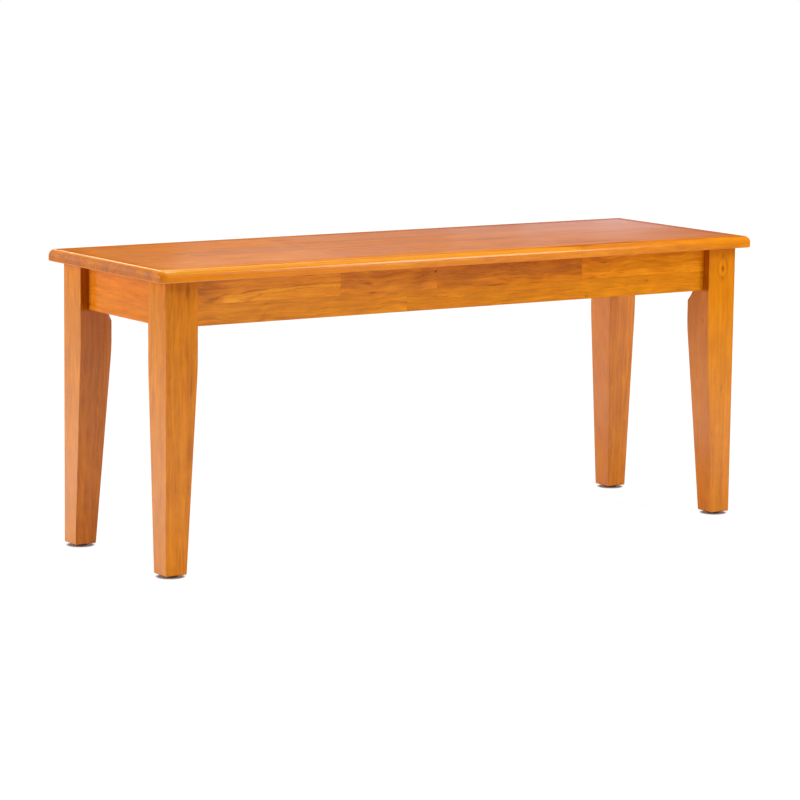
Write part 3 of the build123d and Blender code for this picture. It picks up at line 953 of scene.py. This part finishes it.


# Legs. Each has its side of the bench in X and Y, its tone, the edge from which a strip of it is
# lighter and by how much, its painted shades and painted sheens at a low and a high place, the
# painted light and shade of its inner faces, the range of its coat by height, and its marks and eyes.
Leg = namedtuple(
    "Leg", "x_side y_side tone strip seed shades inner_shade blushes coats marks eyes",
)
leg_figure = 0.055
leg_pith = 0.1
leg_slope = 0.03
leg_reds = (-0.2, -0.05)
leg_depths = (0.02, 0.06)
leg_coat = 0.3
legs = {
    "front_left_leg": Leg(
        x_side=-1, y_side=-1, tone=0.575, strip=(-0.4, 0.0), seed=6, shades=(0.04, -0.03),
        inner_shade=-0.03, blushes=(0.4, 0.12), coats=(0.2, 0.43, 0.42, 0.12),
        marks=[
            Mark(0.19, -0.49, 0.0, 0.035, 0.006, 0.12), Mark(0.42, -0.494, 0.0, 0.02, 0.005, 0.15),
            Mark(0.38, -0.517, 0.0, 0.05, 0.004, 0.10), Mark(0.33, -0.51, 0.0, 0.1, 0.005, -0.06),
            Mark(0.3, -0.487, 0.0, 0.05, 0.006, 0.06), Mark(0.24, -0.5, 0.0, 0.04, 0.008, -0.06),
        ],
        eyes=[Eye(0.02, -0.506, 0.11, 0.011, 0.06)],
    ),
    "rear_left_leg": Leg(
        x_side=-1, y_side=1, tone=0.545, strip=(-0.489, 0.06), seed=7, shades=(-0.03, 0.01),
        inner_shade=-0.04, blushes=(0.5, 0.15), coats=(0.05, 0.42, 0.38, 0.2),
        marks=[
            Mark(0.30, -0.514, 0.0, 0.05, 0.008, 0.10), Mark(0.195, -0.514, 0.0, 0.035, 0.007, 0.12),
            Mark(0.235, -0.503, 0.0, 0.04, 0.005, 0.08), Mark(0.1, -0.52, 0.0, 0.05, 0.01, 0.05),
        ],
        eyes=[],
    ),
    "front_right_leg": Leg(
        x_side=1, y_side=-1, tone=0.6, strip=(0.6, 0.0), seed=8, shades=(0.0, 0.01),
        inner_shade=0.085, blushes=(0.05, 0.4), coats=(0.15, 0.36, 0.6, 0.05),
        marks=[
            Mark(0.404, 0.505, 0.0, 0.008, 0.005, 0.25), Mark(0.39, 0.504, 0.0, 0.004, 0.002, 0.2),
            Mark(0.32, 0.476, 0.013, 0.006, 0.003, 0.35), Mark(0.21, 0.507, 0.0, 0.012, 0.003, 0.15),
        ],
        eyes=[Eye(0.406, 0.504, 0.032, 0.017, 0.1)],
    ),
    "rear_right_leg": Leg(
        x_side=1, y_side=1, tone=0.6, strip=(0.495, 0.03), seed=9, shades=(0.0, 0.0),
        inner_shade=0.02, blushes=(0.3, 0.25), coats=(0.05, 0.42, 0.46, 0.25),
        marks=[],
        eyes=[Eye(0.22, 0.516, 0.14, 0.015, 0.07)],
    ),
}

# Legs: steps and ranges by height
# painted shade: inner faces beside the apron, above its lower edge, are darkened
recess_blur = 0.004
recess_step = (apron_bottom - recess_blur, apron_bottom + recess_blur)
top_step = (0.36, seat_bottom_height)
low_inner_step = (0.15, 0.05)
foot_coat = (0.02, 0.1, 0.6, 1.0)
# painted sheen on the sides, by height
sheen_heights = (0.12, 0.42)
# painted light and shade, by height
shade_heights = (0.05, 0.4)
# painted sheen low on the inner Y faces
painted_inner_sheen = (0.05, 0.25, 0.0, 0.15)

# Legs: painted light and shade and painted tints of the faces, the sides' figure and the lacquer. An X
# face looks along the bench.
# painted shade in the recess beside the apron
painted_recess_shade = -0.22
painted_recess_x_shade = -0.03
# painted light and warm shade on the inner faces: lighter for some legs, darker for others, and redder
painted_inner_x_light = 0.04
painted_inner_x_tint = 0.14
painted_inner_x_red = 0.2
painted_inner_red = 0.25
# painted shade under the seat
painted_under_seat_shade = -0.04
side_noise = ((200.0, 170.0, 25.0), 3.0)
side_sway = 0.08
low_inner_coat = -0.75


def eye_shade(graph, wood, eye):
    """How far an eye changes the lightness."""
    x = graph.math("DIVIDE", graph.less(wood["along"], eye.along), eye.length)
    y = graph.math("DIVIDE", graph.less(wood["across"], eye.across), eye.width)
    away = graph.vector("LENGTH", graph.point(x, y, 0.0))
    curl = graph.math("COSINE", graph.times(away, eye_curls))
    return graph.times(graph.times(curl, graph.soft_step(away, *eye_rim)), -eye.strength)


def finish_leg(leg, graph, wood):
    """Flat-sawn sides with more figure and a painted sheen, inner faces with painted light and warm
    shade, and painted shade in the corner by the apron, under the seat and by height.
    """
    position, facing = wood["position"], wood["facing"]
    height = position[2]
    side = graph.soft_step(graph.size(facing[0]), *squarely)
    inner_x = graph.soft_step(graph.times(facing[0], -leg.x_side), *squarely)
    inner_y = graph.soft_step(graph.times(facing[1], -leg.y_side), *squarely)
    inner = graph.most(inner_x, inner_y)
    # painted shade in the recess beside the apron
    recess_shade_share = graph.times(inner, graph.soft_step(height, *recess_step))
    seen = graph.other(recess_shade_share)

    side_sheen = graph.times(side, graph.spread(height, *sheen_heights, *leg.blushes))
    low_sheen = graph.times(inner_y, graph.spread(height, *painted_inner_sheen))
    # painted sheen on the sides and low on the inner Y faces
    wood["tints"] = [
        (graph.times(seen, graph.total(side_sheen, low_sheen)), painted_sheen),
        # painted warm shade on the inner X faces
        (graph.times(seen, graph.times(inner_x, painted_inner_x_tint)), bright_russet),
    ]
    # painted light and shade on the inner faces
    inner_shade = graph.times_plus(inner_x, painted_inner_x_light, graph.times(inner, leg.inner_shade))
    clouds = graph.sway(graph.noise(graph.point(*position), *side_noise), side_sway)
    wood["lightness"] = graph.total(
        wood["lightness"],
        graph.times(recess_shade_share, graph.times_plus(inner_x, painted_recess_x_shade, painted_recess_shade)),
        graph.times(inner_shade, seen),
        graph.times(side, clouds),
        # painted shade under the seat, and painted light and shade by height
        graph.times(graph.soft_step(height, *top_step), painted_under_seat_shade),
        graph.spread(height, *shade_heights, *leg.shades),
        *[eye_shade(graph, wood, eye) for eye in leg.eyes],
    )
    # painted warm shade: the inner faces are redder
    redness = graph.times_plus(inner_x, painted_inner_x_red, graph.times(inner, painted_inner_red))
    wood["red"] = graph.times_plus(redness, seen, wood["red"])

    low, high, low_coat, high_coat = leg.coats
    coat = graph.spread(height, low, high, low_coat, high_coat)
    coat = graph.times(coat, graph.spread(height, *foot_coat))
    low_inner = graph.times(inner_x, graph.soft_step(height, *low_inner_step))
    coat = graph.times(coat, graph.times_plus(low_inner, low_inner_coat, 1.0))
    wood["coat"] = graph.times(seen, coat)


def leg_wood(name, leg):
    random = Random(leg.seed)
    rows = []
    for edge, shade in ((lowest_edge, 0.0), leg.strip):
        red = random.uniform(*leg_reds)
        depth = random.uniform(*leg_depths)
        pith = leg_pith * leg.x_side
        stave = Stave(0.0, leg.tone + shade, red, leg_figure, pith, depth, leg_slope)
        rows.append((edge, [stave]))
    face = Face((2, 0, 1), leg.y_side * leg_outer_y, -leg.y_side)
    return stained_wood(name, face, rows, leg.marks, leg_coat, leg_grain, partial(finish_leg, leg))


def dress_bench(nodes):
    dress(nodes, ["seat_top"], seat_wood())
    dress(nodes, ["front_apron"], front_apron_wood())
    for name, apron in plain_aprons.items():
        dress(nodes, [name], plain_apron_wood(f"{name}_wood", apron))
    for name, leg in legs.items():
        dress(nodes, [name], leg_wood(f"{name}_wood", leg))


# Fittings: the bare wood's axes, tone and seed, and the steels' bright and dull colours
fitting_woods = {
    "block_wood": ((2, 0, 1), 0.6, 21),
    "rail_wood": ((1, 0, 2), 0.58, 22),
    "dowel_wood": ((1, 0, 2), 0.72, 23),
}
fitting_steels = {
    "screw_steel": ((0.62, 0.5, 0.26, 1), (0.5, 0.36, 0.2, 1)),
    "zinc_steel": ((0.66, 0.68, 0.7, 1), (0.52, 0.54, 0.56, 1)),
    "thread_steel": ((0.66, 0.68, 0.7, 1), (0.5, 0.52, 0.54, 1), bolt_pitch),
    "nail_steel": ((0.52, 0.52, 0.52, 1), (0.4, 0.39, 0.38, 1)),
}


def dress_fittings(nodes):
    blocks = [name for name in nodes if name.endswith("corner_block")]
    glides = [name for name in nodes if name.endswith("glide")]
    wooden = {"block_wood": blocks, "rail_wood": ["centre_rail"], "dowel_wood": ["rail_dowels"]}
    steel = {
        "screw_steel": ["block_screws", "seat_screws"],
        "zinc_steel": ["hanger_washers", "hanger_nuts"],
        "thread_steel": ["hanger_bolts"],
        "nail_steel": ["glide_nails"],
    }
    for name, names in wooden.items():
        dress(nodes, names, bare_wood(name, *fitting_woods[name]))
    dress(nodes, glides, moulded_plastic("glide_plastic"))
    for name, names in steel.items():
        dress(nodes, names, plated_steel(name, *fitting_steels[name]))


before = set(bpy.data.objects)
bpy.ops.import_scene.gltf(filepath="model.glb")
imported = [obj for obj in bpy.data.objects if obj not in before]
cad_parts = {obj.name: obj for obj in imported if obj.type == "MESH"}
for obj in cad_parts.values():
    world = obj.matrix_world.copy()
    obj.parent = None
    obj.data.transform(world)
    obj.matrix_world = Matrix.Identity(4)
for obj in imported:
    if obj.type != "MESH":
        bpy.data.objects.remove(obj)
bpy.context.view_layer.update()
make_camera()
bpy.context.scene.view_settings.view_transform = "Standard"
make_world()
make_floor()
for lamp_name, lamp_sizes in lamps.items():
    make_lamp(lamp_name, *lamp_sizes)
dress_bench(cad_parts)
dress_fittings(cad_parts)
